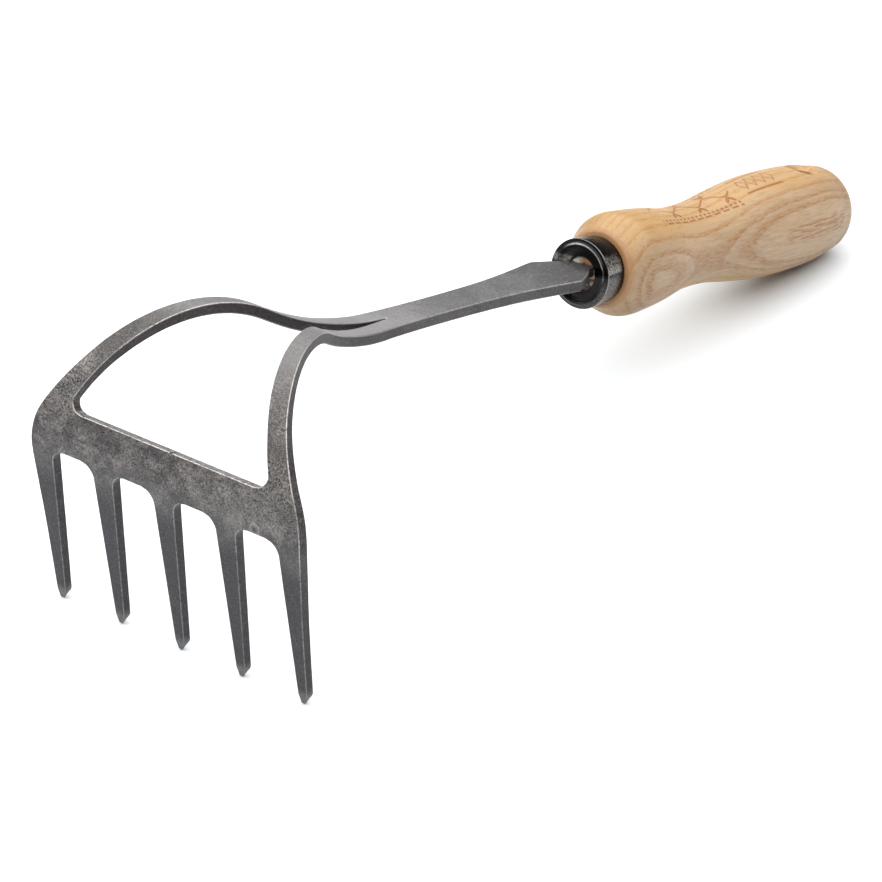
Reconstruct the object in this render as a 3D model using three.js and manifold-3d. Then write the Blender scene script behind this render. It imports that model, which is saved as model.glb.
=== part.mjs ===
// Five-tine garden hand rake, lying the way it is put down: on its tine tips and the butt of its handle.
// Millimetres. X runs across the tines, Y from the tines towards the butt, Z up, ground at Z = 0.
//
// The head is one flat steel blank bent about lines parallel to X. It is drawn flat as (x, s), where s is
// the length along the blank's outer face from the tine tips, and then laid along the bend path.
import * as THREE from 'three';
import { mergeVertices } from 'three/addons/utils/BufferGeometryUtils.js';
import Module from 'manifold-3d';

// ---- driving dimensions ----
const PLATE = 3.8;                 // steel thickness
const TINE_TIP_PLATE = 3.1;        // the tines are drawn a little thinner towards their tips
const GAP = 0.3;                   // play left between pieces that touch

const TINE_COUNT = 5;
const TINE_PITCH = 25;
const TINE_TIP_WIDTH = 1.6;        // at the very point
const TINE_NOSE = 3;               // length of the pointed nose
const TINE_NOSE_WIDTH = 3.7;       // where the nose ends
const TINE_ROOT_WIDTH = 8.4;       // where the root fillets start
const TIP_BEVEL = 2.1;             // how far the back of a tip is ground away
const GAP_TOP = 57.5;              // s of the closed end of the gaps between tines
const GAP_FILLET = 4.7;
const BAR_TOP = 72.4;              // s of the crossbar's upper edge
const BOW_FILLET = 4.2;            // inner corner between crossbar and arm

const LEAN = 94.5;                 // tines' angle to +Y, degrees: the roots lean slightly forwards
const STRAIGHT_TINE = 53.7;        // flat length before the first bend
const BEND_RADIUS = 44.1;          // crossbar bend
const BEND_ANGLE = 48;
const HUMP_RADIUS = 37.8;          // bend over the top of the arms
const HUMP_ANGLE = 83;
const SADDLE_RADIUS = 105;         // reverse bend where the arms meet the shank
const HANDLE_SLOPE = 12.93;        // shank and handle fall towards the butt, degrees

const SLIT_END = 194.5;            // s where the two arms join into the shank
const SHOULDER = 283.5;            // s of the widest point of the shank
const SHOULDER_HALF = 11;
const TANG_START = 296.2;
const TANG_LENGTH = 56;
const TANG_WIDTH = 8.4;
const TANG_END_WIDTH = 6;

const FERRULE_FRONT = 296.4;       // s of the ferrule's front rim
const FERRULE_LENGTH = 10.6;
const FERRULE_RADIUS = 11.35;      // at the back; the skirt widens towards the front rim
const FERRULE_WALL = 1.2;
const RIM_RADIUS = 12;
const RIM_ROUND = 0.35;
const RIM_STEP = 0.5;              // the flat rim lies this far behind the crest
const CREST_RADIUS = 10.25;        // the raised ring on the front face
const CREST = 0.85;                // radius of that ring's section
const BEAD_RADIUS = 9.2;           // a second, lower ring inside the crest
const BEAD = 0.55;
const FACE_RECESS = 1.2;           // the front wall lies this far behind the crest
const MOUTH_RADIUS = 5.8;          // hole in the front wall
const AXIS_DROP = 1.4;             // handle axis below the middle of the plate

const MORTISE_WIDTH = 11.4;        // slot in the wood for the tang and its bedding
const MORTISE_HEIGHT = 7;
const MORTISE_END = 58;            // from the ferrule's front
const HANDLE_LENGTH = 138.5;       // behind the ferrule
const BUTT_ROUND = 11.1;           // length of the rounded end
const HANG_HOLE_RADIUS = 4;
const HANG_SINK_RADIUS = 7.5;      // countersink at both mouths of the hole
const HANG_SINK_DEPTH = 2.6;
const HANG_HOLE_INSET = 21;        // from the butt end

// Half widths of the blank, as [s, x].
const OUTER_EDGE = [
  [TINE_NOSE, 51.8], [30, 52.9], [56, 54.6], [61, 54.5], [68, 53], [75.5, 49.2], [94, 38.7], [117, 27.2],
  [132, 20.9], [143, 16.8], [156, 12.5], [164, 10.6], [176, 8.9], [192, 7.1], [228, 6.5], [256, 7.6],
  [SHOULDER, SHOULDER_HALF],
];
const INNER_EDGE = [
  [BAR_TOP + BOW_FILLET, 39.4], [87, 34.6], [102, 27.2], [117, 20.5], [132, 14.6], [143, 10.4],
  [155, 6.1], [164, 4.4], [174, 2.8], [183, 1.3], [190, 0.5], [SLIT_END, 0.25],
];
const SHOULDER_EDGE = [[SHOULDER, SHOULDER_HALF], [290.5, 8], [294, 5.9], [TANG_START, TANG_WIDTH / 2]];

// Handle radii behind the ferrule, as [distance, radius].
const HANDLE_RADII = [
  [0, 13.4], [2.6, 14.4], [7.7, 17.5], [15.4, 17.5], [26.4, 16.4], [39.5, 14.4], [54.9, 14.4],
  [70.4, 16.3], [85.8, 17.9], [101, 18.2], [116.5, 17.5], [HANDLE_LENGTH - BUTT_ROUND, 15.7],
];

const ARM_STEP = 3;                // spacing of the cross lines on bent stretches
const HALF_WIDTH = TINE_PITCH * (TINE_COUNT - 1) / 2;
const TENON_START = FACE_RECESS + FERRULE_WALL + GAP;

// ---- materials ----
const steel = new THREE.MeshStandardMaterial({ color: 0x5b5955, roughness: 0.5, metalness: 0.85 });
const blackSteel = new THREE.MeshStandardMaterial({ color: 0x2b2a2c, roughness: 0.3, metalness: 0.9 });
const ash = new THREE.MeshStandardMaterial({ color: 0xd9b27c, roughness: 0.55, metalness: 0 });
const resin = new THREE.MeshStandardMaterial({ color: 0xb9b3a6, roughness: 0.7, metalness: 0 });

// ---- bend path ----
// Each bend is [length, turn in radians]; a straight has no turn.
function bendPath() {
  const deg = THREE.MathUtils.degToRad;
  const humpEnd = LEAN - BEND_ANGLE - HUMP_ANGLE;
  const saddle = -HANDLE_SLOPE - humpEnd;
  return [
    [STRAIGHT_TINE, 0],
    [BEND_RADIUS * deg(BEND_ANGLE), -deg(BEND_ANGLE)],
    [HUMP_RADIUS * deg(HUMP_ANGLE), -deg(HUMP_ANGLE)],
    [SADDLE_RADIUS * deg(saddle), deg(saddle)],
    [Infinity, 0],
  ];
}

// The point (y, z) and heading of the path at length s.
function pathAt(s) {
  let y = 0;
  let z = 0;
  let heading = THREE.MathUtils.degToRad(LEAN);
  let left = s;
  for (const [length, turn] of bendPath()) {
    const run = Math.min(left, length);
    if (turn === 0) {
      y += run * Math.cos(heading);
      z += run * Math.sin(heading);
    } else {
      const radius = length / turn;
      const next = heading + run / radius;
      y += radius * (Math.sin(next) - Math.sin(heading));
      z -= radius * (Math.cos(next) - Math.cos(heading));
      heading = next;
    }
    left -= run;
    if (left <= 0) break;
  }
  return { y, z, heading };
}

// Steel thickness at s.
function thicknessAt(s) {
  return THREE.MathUtils.lerp(TINE_TIP_PLATE, PLATE, Math.min(s / STRAIGHT_TINE, 1));
}

// A point of the bent plate: x across, s along, depth from 0 on the outer face to 1 on the inner one.
function platePoint(x, s, depth) {
  const along = Math.max(s, TIP_BEVEL * depth);
  const { y, z, heading } = pathAt(along);
  const below = depth * thicknessAt(along);
  return new THREE.Vector3(x, y + below * Math.sin(heading), z - below * Math.cos(heading));
}

// ---- outline helpers ----
// Smooth value at s of a list of [s, value] points.
function valueAt(points, s) {
  const last = points.length - 1;
  let i = 0;
  while (i < last - 1 && s > points[i + 1][0]) i += 1;
  const slope = (a, b) => (points[b][1] - points[a][1]) / (points[b][0] - points[a][0]);
  const tangent = (k) => slope(Math.max(k - 1, 0), Math.min(k + 1, last));
  const span = points[i + 1][0] - points[i][0];
  const t = THREE.MathUtils.clamp((s - points[i][0]) / span, 0, 1);
  const near = 2 * t ** 3 - 3 * t ** 2 + 1;
  const rise = (t ** 3 - 2 * t ** 2 + t) * span * tangent(i);
  const fall = (t ** 3 - t ** 2) * span * tangent(i + 1);
  return near * points[i][1] + (1 - near) * points[i + 1][1] + rise + fall;
}

// Values from a to b, both included, no further apart than step.
function stations(a, b, step) {
  const count = Math.ceil((b - a) / step - 1e-9);
  return Array.from({ length: count + 1 }, (_, i) => a + (b - a) * i / count);
}

// How much a fillet of the given radius adds to an edge at a distance before its closed end.
function filletAt(radius, distance) {
  const inside = THREE.MathUtils.clamp(1 - distance / radius, 0, 1);
  return radius * (1 - Math.sqrt(1 - inside ** 2));
}

function tineHalfWidth(s) {
  if (s < TINE_NOSE) return THREE.MathUtils.mapLinear(s, 0, TINE_NOSE, TINE_TIP_WIDTH, TINE_NOSE_WIDTH) / 2;
  const straight = THREE.MathUtils.mapLinear(s, TINE_NOSE, GAP_TOP, TINE_NOSE_WIDTH, TINE_ROOT_WIDTH) / 2;
  return straight + filletAt(GAP_FILLET, GAP_TOP - s);
}

// Left and right edge of one tine at s; an outer tine's outer edge is the blank's own.
function tineEdges(index, s) {
  const middle = index * TINE_PITCH - HALF_WIDTH;
  const half = tineHalfWidth(s);
  const edges = [middle - half, middle + half];
  if (s >= TINE_NOSE && index === 0) edges[0] = -valueAt(OUTER_EDGE, s);
  if (s >= TINE_NOSE && index === TINE_COUNT - 1) edges[1] = valueAt(OUTER_EDGE, s);
  return edges;
}

// ---- the flat blank as a list of cells, each a convex ring of [x, s] corners, anticlockwise ----
function addRows(cells, rows) {
  for (let i = 0; i + 1 < rows.length; i += 1) {
    const [low, high] = [rows[i], rows[i + 1]];
    for (let k = 0; k + 1 < low.x.length; k += 1) {
      cells.push([[low.x[k], low.s], [low.x[k + 1], low.s], [high.x[k + 1], high.s], [high.x[k], high.s]]);
    }
  }
}

function addTines(cells) {
  const fillets = stations(GAP_TOP - GAP_FILLET, GAP_TOP, GAP_FILLET / 5);
  const lengths = [0, TINE_NOSE, 20, 37, ...fillets];
  for (let index = 0; index < TINE_COUNT; index += 1) {
    addRows(cells, lengths.map((s) => ({ s, x: tineEdges(index, s) })));
  }
}

// The crossbar is cut into columns at every tine root and at the bow's two inner corners.
function addCrossbar(cells) {
  const corner = bowCorner();
  const columns = [...tineRoots().slice(1, -1), -corner, corner].sort((a, b) => a - b);
  const rows = stations(GAP_TOP, BAR_TOP, ARM_STEP).map((s) => {
    const outer = valueAt(OUTER_EDGE, s);
    return { s, x: [-outer, ...columns, outer] };
  });
  addRows(cells, rows);
}

function tineRoots() {
  return Array.from({ length: TINE_COUNT }, (_, index) => tineEdges(index, GAP_TOP)).flat();
}

function bowCorner() {
  return INNER_EDGE[0][1] - BOW_FILLET;
}

// An arm's first cell also has the crossbar's columns along its lower side, so they meet corner to corner.
function addArms(cells) {
  const fillet = stations(BAR_TOP, BAR_TOP + BOW_FILLET, BOW_FILLET / 5);
  const arm = stations(BAR_TOP + BOW_FILLET, SLIT_END, ARM_STEP);
  for (const side of [-1, 1]) {
    const rows = [...fillet, ...arm.slice(1)].map((s) => {
      const inner = valueAt(INNER_EDGE, s) - filletAt(BOW_FILLET, s - BAR_TOP);
      const pair = [side * inner, side * valueAt(OUTER_EDGE, s)];
      return { s, x: pair.sort((a, b) => a - b) };
    });
    const [low, high] = rows;
    const shared = tineRoots().filter((x) => x > low.x[0] + GAP && x < low.x[1] - GAP);
    const lower = [low.x[0], ...shared, low.x[1]].map((x) => [x, low.s]);
    cells.push([[high.x[0], high.s], ...lower, [high.x[1], high.s]]);
    addRows(cells, rows.slice(1));
  }
}

// The shank's first cell also has both arms' inner corners at the end of the slit.
function addShank(cells) {
  const slit = valueAt(INNER_EDGE, SLIT_END);
  const rows = stations(SLIT_END, SHOULDER, 2 * ARM_STEP).map((s) => {
    const outer = valueAt(OUTER_EDGE, s);
    return { s, x: [-outer, outer] };
  });
  const [low, high] = rows;
  const lower = [low.x[0], -slit, slit, low.x[1]].map((x) => [x, low.s]);
  cells.push([[high.x[0], high.s], ...lower, [high.x[1], high.s]]);
  addRows(cells, rows.slice(1));
  const shoulder = [...SHOULDER_EDGE, [TANG_START + TANG_LENGTH, TANG_END_WIDTH / 2]];
  addRows(cells, shoulder.map(([s, half]) => ({ s, x: [-half, half] })));
}

// ---- solids ----
// Front and back faces of every cell, and a wall along each edge that only one cell has.
function sheetGeometry(cells) {
  const positions = [];
  const face = (...corners) => {
    for (let k = 1; k + 1 < corners.length; k += 1) {
      for (const corner of [corners[0], corners[k], corners[k + 1]]) positions.push(...corner.toArray());
    }
  };
  const key = (a, b) => [...a, ...b].map((value) => value.toFixed(4)).join();
  const edges = new Set(cells.flatMap((cell) => cell.map((a, k) => key(a, cell[(k + 1) % cell.length]))));
  for (const cell of cells) {
    const front = cell.map(([x, s]) => platePoint(x, s, 0));
    const back = cell.map(([x, s]) => platePoint(x, s, 1));
    face(...front);
    face(...back.slice().reverse());
    cell.forEach((a, k) => {
      const next = (k + 1) % cell.length;
      if (!edges.has(key(cell[next], a))) face(front[k], back[k], back[next], front[next]);
    });
  }
  const geometry = new THREE.BufferGeometry();
  geometry.setAttribute('position', new THREE.Float32BufferAttribute(positions, 3));
  return mergeVertices(geometry, 1e-4);
}

// A body turned about Y from [radius, y] points.
function turned(points, segments) {
  return new THREE.LatheGeometry(points.map(([r, y]) => new THREE.Vector2(r, y)), segments);
}

const wasm = await Module();
wasm.setup();

function toSolid(geometry) {
  const bare = geometry.clone();
  bare.deleteAttribute('normal');
  bare.deleteAttribute('uv');
  const welded = mergeVertices(bare, 1e-4);
  return new wasm.Manifold(new wasm.Mesh({
    numProp: 3,
    vertProperties: new Float32Array(welded.attributes.position.array),
    triVerts: new Uint32Array(welded.index.array),
  }));
}

function toGeometry(solid) {
  const mesh = solid.getMesh();
  const geometry = new THREE.BufferGeometry();
  geometry.setAttribute('position', new THREE.BufferAttribute(mesh.vertProperties, 3));
  geometry.setIndex(new THREE.BufferAttribute(mesh.triVerts, 1));
  return geometry;
}

function rakeHead() {
  const cells = [];
  addTines(cells);
  addCrossbar(cells);
  addArms(cells);
  addShank(cells);
  return new THREE.Mesh(sheetGeometry(cells), steel);
}

// Points of a circular arc, angles in degrees, from the radius direction towards +Y.
function arc(centreR, centreY, radius, from, to, count) {
  return stations(0, 1, 1 / count).map((t) => {
    const angle = THREE.MathUtils.degToRad(THREE.MathUtils.lerp(from, to, t));
    return [centreR + radius * Math.cos(angle), centreY + radius * Math.sin(angle)];
  });
}

// A cap of drawn sheet steel: tapered skirt, flat rim, raised crest, low inner ring and a recessed front
// wall with a round hole.
function ferrule() {
  const inner = FERRULE_RADIUS - FERRULE_WALL;
  const wallBack = FACE_RECESS + FERRULE_WALL;
  const hole = arc(MOUTH_RADIUS + 0.4, FACE_RECESS + 0.4, 0.4, 180, 270, 3);
  const bead = arc(BEAD_RADIUS, FACE_RECESS, BEAD, 180, 300, 4);
  const crest = arc(CREST_RADIUS, CREST, CREST, 215, 335, 6);
  const rim = arc(RIM_RADIUS - RIM_ROUND, RIM_STEP + RIM_ROUND, RIM_ROUND, 270, 360, 3);
  const profile = [
    [inner, FERRULE_LENGTH], [inner, wallBack], [MOUTH_RADIUS, wallBack], ...hole, ...bead, ...crest,
    ...rim, [FERRULE_RADIUS, FERRULE_LENGTH], [inner, FERRULE_LENGTH],
  ];
  return new THREE.Mesh(turned(profile, 48), blackSteel);
}

// The turned grip: a tenon inside the ferrule, a shoulder, the waisted grip and a round butt.
function handleProfile() {
  const tenon = FERRULE_RADIUS - FERRULE_WALL - GAP;
  const start = FERRULE_LENGTH + GAP;
  const end = start + HANDLE_LENGTH;
  const grip = stations(0, HANDLE_LENGTH - BUTT_ROUND, 4).map((y) => [valueAt(HANDLE_RADII, y), start + y]);
  const butt = HANDLE_RADII.at(-1)[1];
  const round = stations(0, 90, 15).slice(1, -1).map((degrees) => {
    const angle = THREE.MathUtils.degToRad(degrees);
    return [butt * Math.cos(angle), end - BUTT_ROUND + BUTT_ROUND * Math.sin(angle)];
  });
  return [[0, TENON_START], [tenon, TENON_START], [tenon, start], ...grip, ...round, [0, end]];
}

// A square-cornered block round the tang's middle, between two distances behind the ferrule's front.
function tangBlock(width, height, from, to) {
  const block = new THREE.BoxGeometry(width, to - from, height);
  block.translate(0, (from + to) / 2, AXIS_DROP);
  return toSolid(block);
}

// The hole for a hanging cord runs across the butt, with a wide countersink at both ends.
function hangHoleCutter() {
  const reach = 30;
  const surface = 17.4;
  const half = [
    [HANG_HOLE_RADIUS, surface - HANG_SINK_DEPTH], [HANG_SINK_RADIUS, surface],
    [HANG_SINK_RADIUS, reach], [0, reach],
  ];
  const mirrored = half.map(([r, y]) => [r, -y]).reverse();
  const cutter = turned([...mirrored, ...half], 32);
  cutter.rotateX(Math.PI / 2);
  cutter.translate(0, FERRULE_LENGTH + GAP + HANDLE_LENGTH - HANG_HOLE_INSET, 0);
  return cutter;
}

function handle() {
  const blank = toSolid(turned(handleProfile(), 64));
  const mortise = tangBlock(MORTISE_WIDTH, MORTISE_HEIGHT, 0, MORTISE_END);
  return new THREE.Mesh(toGeometry(blank.subtract(mortise).subtract(toSolid(hangHoleCutter()))), ash);
}

// Resin that fills the mortise round the tang.
function tangBedding() {
  const play = 2 * GAP;
  const tangEnd = TANG_START + TANG_LENGTH - FERRULE_FRONT;
  const plug = tangBlock(MORTISE_WIDTH - play, MORTISE_HEIGHT - play, TENON_START, MORTISE_END - GAP);
  const slot = tangBlock(TANG_WIDTH + play, PLATE + play, 0, tangEnd + GAP);
  return new THREE.Mesh(toGeometry(plug.subtract(slot)), resin);
}

// ---- assembly ----
function named(mesh, name) {
  mesh.name = name;
  return mesh;
}

const tool = new THREE.Group();
tool.add(named(rakeHead(), 'rake_head'));

// Everything turned shares the handle's axis: local +Y runs along it towards the butt.
const grip = new THREE.Group();
grip.position.copy(platePoint(0, FERRULE_FRONT, 0.5 + AXIS_DROP / PLATE));
grip.rotation.x = -THREE.MathUtils.degToRad(HANDLE_SLOPE);
grip.add(named(ferrule(), 'ferrule'));
grip.add(named(handle(), 'handle'));
grip.add(named(tangBedding(), 'tang_bedding'));
tool.add(grip);

// The origin is on the ground in the middle of the tool's footprint.
const extent = new THREE.Box3().setFromObject(tool, true);
tool.position.set(0, -(extent.min.y + extent.max.y) / 2, -extent.min.z);

const group = new THREE.Group();
group.add(tool);

export default group;
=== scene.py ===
"""Looks of the garden hand rake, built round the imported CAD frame. Metres, Z up, ground at Z = 0."""

import math

import bmesh
import bpy
from mathutils import Matrix, Vector, noise


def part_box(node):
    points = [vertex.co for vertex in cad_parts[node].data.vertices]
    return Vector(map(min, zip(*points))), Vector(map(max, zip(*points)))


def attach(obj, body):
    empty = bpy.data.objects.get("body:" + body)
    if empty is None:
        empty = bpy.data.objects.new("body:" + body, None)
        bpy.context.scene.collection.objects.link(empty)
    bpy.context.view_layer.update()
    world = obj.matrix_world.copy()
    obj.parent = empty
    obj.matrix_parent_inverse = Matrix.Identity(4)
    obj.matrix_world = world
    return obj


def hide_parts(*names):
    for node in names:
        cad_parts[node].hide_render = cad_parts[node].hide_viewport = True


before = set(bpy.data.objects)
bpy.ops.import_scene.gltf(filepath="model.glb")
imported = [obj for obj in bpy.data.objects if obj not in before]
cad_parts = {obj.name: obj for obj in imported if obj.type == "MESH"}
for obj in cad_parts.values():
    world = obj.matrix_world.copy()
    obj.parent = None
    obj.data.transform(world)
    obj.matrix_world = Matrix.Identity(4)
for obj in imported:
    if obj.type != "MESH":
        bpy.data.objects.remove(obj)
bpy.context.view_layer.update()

# ---- the CAD part's driving dimensions, in millimetres ----
MM = 0.001
PLATE, TINE_TIP_PLATE = 3.8, 3.1
TINE_COUNT, TINE_PITCH = 5, 25.0
TINE_TIP_WIDTH, TINE_NOSE, TINE_NOSE_WIDTH, TINE_ROOT_WIDTH = 1.6, 3.0, 3.7, 8.4
TIP_BEVEL = 2.1
GAP_TOP, GAP_FILLET = 57.5, 4.7
BAR_TOP, BOW_FILLET = 72.4, 4.2
LEAN, STRAIGHT_TINE = 94.5, 53.7
BEND_RADIUS, BEND_ANGLE = 44.1, 48.0
HUMP_RADIUS, HUMP_ANGLE = 37.8, 83.0
SADDLE_RADIUS, HANDLE_SLOPE = 105.0, 12.93
SLIT_END, SHOULDER, SHOULDER_HALF = 194.5, 283.5, 11.0
TANG_START, TANG_LENGTH, TANG_WIDTH, TANG_END_WIDTH = 296.2, 56.0, 8.4, 6.0
FERRULE_FRONT, FERRULE_LENGTH, FERRULE_RADIUS, FERRULE_WALL = 296.4, 10.6, 11.35, 1.2
RIM_RADIUS, RIM_ROUND, RIM_STEP = 12.0, 0.35, 0.5
CREST_RADIUS, CREST = 10.25, 0.85
BEAD_RADIUS, BEAD = 9.2, 0.55
FACE_RECESS, MOUTH_RADIUS, AXIS_DROP, GAP = 1.2, 5.8, 1.4, 0.3
HANDLE_LENGTH, BUTT_ROUND = 138.5, 11.1
GRIP_START = FERRULE_LENGTH + GAP
HANG_HOLE_RADIUS, HANG_SINK_RADIUS, HANG_SINK_DEPTH, HANG_HOLE_INSET = 4.0, 7.5, 2.6, 21.0
HANG_SURFACE, DRILL_REACH = 17.4, 22  # the wood's surface at the hole and the cutter's end, from the axis

# (s, half width) of the flat blank: its outside, the bow's inside down to the slit's tip, its shoulders
OUTER_EDGE = [
    (TINE_NOSE, 51.8), (30, 52.9), (56, 54.6), (61, 54.5), (68, 53), (75.5, 49.2), (94, 38.7),
    (117, 27.2), (132, 20.9), (143, 16.8), (156, 12.5), (164, 10.6), (176, 8.9), (192, 7.1),
    (228, 6.5), (256, 7.6), (SHOULDER, SHOULDER_HALF),
]
INNER_EDGE = [
    (BAR_TOP + BOW_FILLET, 39.4), (87, 34.6), (102, 27.2), (117, 20.5), (132, 14.6), (143, 10.4),
    (155, 6.1), (164, 4.4), (174, 2.8), (183, 1.3), (190, 0.5), (SLIT_END, 0.25),
]
SHOULDER_EDGE = [(SHOULDER, SHOULDER_HALF), (290.5, 8), (294, 5.9), (TANG_START, TANG_WIDTH / 2)]
HANDLE_RADII = [  # (distance behind the ferrule, radius)
    (0, 13.4), (2.6, 14.4), (7.7, 17.5), (15.4, 17.5), (26.4, 16.4), (39.5, 14.4), (54.9, 14.4),
    (70.4, 16.3), (85.8, 17.9), (101, 18.2), (116.5, 17.5), (HANDLE_LENGTH - BUTT_ROUND, 15.7),
]

# ---- details that only the visual model has ----
EDGE_ROUND = 0.42                 # worn edges of the plate
ROW_STEP = 1.5                    # spacing of the cross lines on the plate
NICK_X, NICK_DEPTH = 2.0, 0.35    # small step that the cutting left in the crossbar's upper edge
NICK_SLOPE, NICK_STEP = 0.5, 0.1  # it slopes in slowly and steps out at once
PIERCE_MARK = (37.0, 59.3)        # (x, s) where the cutting started, seen as a small ring
FILLET_STEPS = 8                  # cross lines along a fillet
MOUTH_ROUND, BACK_ROUND = 0.4, 0.3
FRONT_FLAT, FRONT_ROUND = 12.3, 1.6   # the grip's front: radius of its flat, and depth of the round
DRILL_FLARE, SINK_MARGIN = 1.5, 0.5
SMEAR_RADIUS, SMEAR_FRONT = 5.5, 2.6  # disc of resin in the ferrule's mouth

# Growth rings of the ash: the levels in mm where they start, from +X to -X, as ring_level has them.
RINGS = (17.8, 16.1, 13.0, 8.8, 5.2, 1.9, -1.0, -3.6, -6.9, -9.3, -12.4, -14.6, -17.2)
RISE_LENGTH, RISE_HEIGHT = 140.0, 10.0
RING_RISE = [  # (share of the length, share of the height that the rings have climbed there)
    (0.0, 0.15), (0.071, 0.17), (0.3, 0.265), (0.62, 0.305), (0.75, 0.34), (0.9, 0.49), (1.0, 0.65),
]

# The burnt ornament: its middle line in degrees round the grip, and a degree's length on the wood
ORNAMENT_TURN, DEGREE_LENGTH = 87, 0.28
STEM_START, STEM_PERIOD, STEM_WAVE = 24, 15.4, 2.0
LEAF_PLACE, LEAF_SPREAD, LEAF_LEAN = 4.1, 1.6, 0.7
LEAF_HALF, LEAF_LENGTH = 0.75, 1.9    # half width and half length
LOZENGE_START, LOZENGE_LENGTH, LOZENGE_HALF = 76, 5.0, 3.4


def lerp(a, b, t):
    return a + (b - a) * t


def value_at(points, s):
    """Smooth value at s of a list of (s, value) points."""
    last = len(points) - 1
    i = 0
    while i < last - 1 and s > points[i + 1][0]:
        i += 1

    def tangent(k):
        a, b = points[max(k - 1, 0)], points[min(k + 1, last)]
        return (b[1] - a[1]) / (b[0] - a[0])

    span = points[i + 1][0] - points[i][0]
    t = min(max((s - points[i][0]) / span, 0.0), 1.0)
    near = 2 * t**3 - 3 * t**2 + 1
    rise = (t**3 - 2 * t**2 + t) * span * tangent(i)
    fall = (t**3 - t**2) * span * tangent(i + 1)
    return near * points[i][1] + (1 - near) * points[i + 1][1] + rise + fall


def stations(a, b, step):
    """Values from a to b, both included, no further apart than step."""
    count = math.ceil((b - a) / step - 1e-9)
    return [a + (b - a) * i / count for i in range(count + 1)]


# ---- bend path of the plate ----
def bend_path():
    hump_end = LEAN - BEND_ANGLE - HUMP_ANGLE
    saddle_highlight = math.radians(-HANDLE_SLOPE - hump_end)
    bend, hump = math.radians(BEND_ANGLE), math.radians(HUMP_ANGLE)
    return [
        (STRAIGHT_TINE, 0.0), (BEND_RADIUS * bend, -bend), (HUMP_RADIUS * hump, -hump),
        (SADDLE_RADIUS * saddle_highlight, saddle_highlight), (math.inf, 0.0),
    ]


PATH = bend_path()


def path_at(s):
    """(y, z, heading) of the plate's outer face at flat length s."""
    y = z = 0.0
    heading, left = math.radians(LEAN), s
    for length, turn in PATH:
        run = min(left, length)
        if turn == 0:
            y += run * math.cos(heading)
            z += run * math.sin(heading)
        else:
            radius = length / turn
            after = heading + run / radius
            y += radius * (math.sin(after) - math.sin(heading))
            z -= radius * (math.cos(after) - math.cos(heading))
            heading = after
        left -= run
        if left <= 0:
            break
    return y, z, heading


FOREMOST = stations(50, 70, 0.05)  # the plate's foremost point lies on this stretch
SHIFT_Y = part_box("rake_head")[0].y / MM - min(path_at(s)[0] for s in FOREMOST)


def plate_point(x, s, depth):
    """A point of the bent plate in the part's frame, in mm; depth 0 is the outer face and 1 the inner."""
    along = max(s, TIP_BEVEL * depth)
    y, z, heading = path_at(along)
    below = depth * lerp(TINE_TIP_PLATE, PLATE, min(along / STRAIGHT_TINE, 1))
    return Vector((x, y + SHIFT_Y + below * math.sin(heading), z - below * math.cos(heading)))


# The turned pieces' own frame: its Y runs along the handle to the butt, Z is its upper side.
GRIP = Matrix.Translation(plate_point(0, FERRULE_FRONT, 0.5 + AXIS_DROP / PLATE)) @ Matrix.Rotation(
    -math.radians(HANDLE_SLOPE), 4, "X"
)


# ---- mesh helpers ----
def make_piece(name, bm, spots, replaces, material):
    """Turns a bmesh in mm into a piece on the root body; spots are its points in the grip's frame."""
    mesh = bpy.data.meshes.new(name)
    for vertex in bm.verts:
        vertex.co *= MM
    bm.to_mesh(mesh)
    bm.free()
    if spots:
        attribute = mesh.attributes.new("spot", "FLOAT_VECTOR", "POINT")
        attribute.data.foreach_set("vector", [value for spot in spots for value in spot])
    mesh.materials.append(material)
    mesh.shade_smooth()
    piece = bpy.data.objects.new(name, mesh)
    bpy.context.scene.collection.objects.link(piece)
    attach(piece, "root")
    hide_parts(replaces)
    return piece


def level_normals(piece):
    """Keeps broad faces flat next to their rounded edges."""
    modifier = piece.modifiers.new("level", "WEIGHTED_NORMAL")
    modifier.weight = 60
    modifier.keep_sharp = True


# ---- the rake head ----
def fillet_at(radius, distance):
    inside = min(max(1 - distance / radius, 0), 1)
    return radius * (1 - math.sqrt(1 - inside**2))


def tine_half_width(s):
    if s < TINE_NOSE:
        return lerp(TINE_TIP_WIDTH, TINE_NOSE_WIDTH, s / TINE_NOSE) / 2
    t = (s - TINE_NOSE) / (GAP_TOP - TINE_NOSE)
    return lerp(TINE_NOSE_WIDTH, TINE_ROOT_WIDTH, t) / 2 + fillet_at(GAP_FILLET, GAP_TOP - s)


def tine_edges(index, s):
    middle = (index - (TINE_COUNT - 1) / 2) * TINE_PITCH
    left, right = middle - tine_half_width(s), middle + tine_half_width(s)
    if s >= TINE_NOSE and index == 0:
        left = -value_at(OUTER_EDGE, s)
    if s >= TINE_NOSE and index == TINE_COUNT - 1:
        right = value_at(OUTER_EDGE, s)
    return left, right


def rows_to_cells(rows):
    """Rows of (s, [x, ...]) as four-cornered cells of (x, s)."""
    cells = []
    for (s0, low), (s1, high) in zip(rows, rows[1:]):
        for k in range(len(low) - 1):
            cells.append([(low[k], s0), (low[k + 1], s0), (high[k + 1], s1), (high[k], s1)])
    return cells


def tine_cells():
    lengths = [0, 1.0, 2.0, TINE_NOSE] + stations(TINE_NOSE, GAP_TOP - GAP_FILLET, 2.5)[1:]
    lengths += stations(GAP_TOP - GAP_FILLET, GAP_TOP, GAP_FILLET / FILLET_STEPS)[1:]
    cells = []
    for index in range(TINE_COUNT):
        cells += rows_to_cells([(s, tine_edges(index, s)) for s in lengths])
    return cells


def root_columns():
    return [x for index in range(TINE_COUNT) for x in tine_edges(index, GAP_TOP)]


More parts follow.
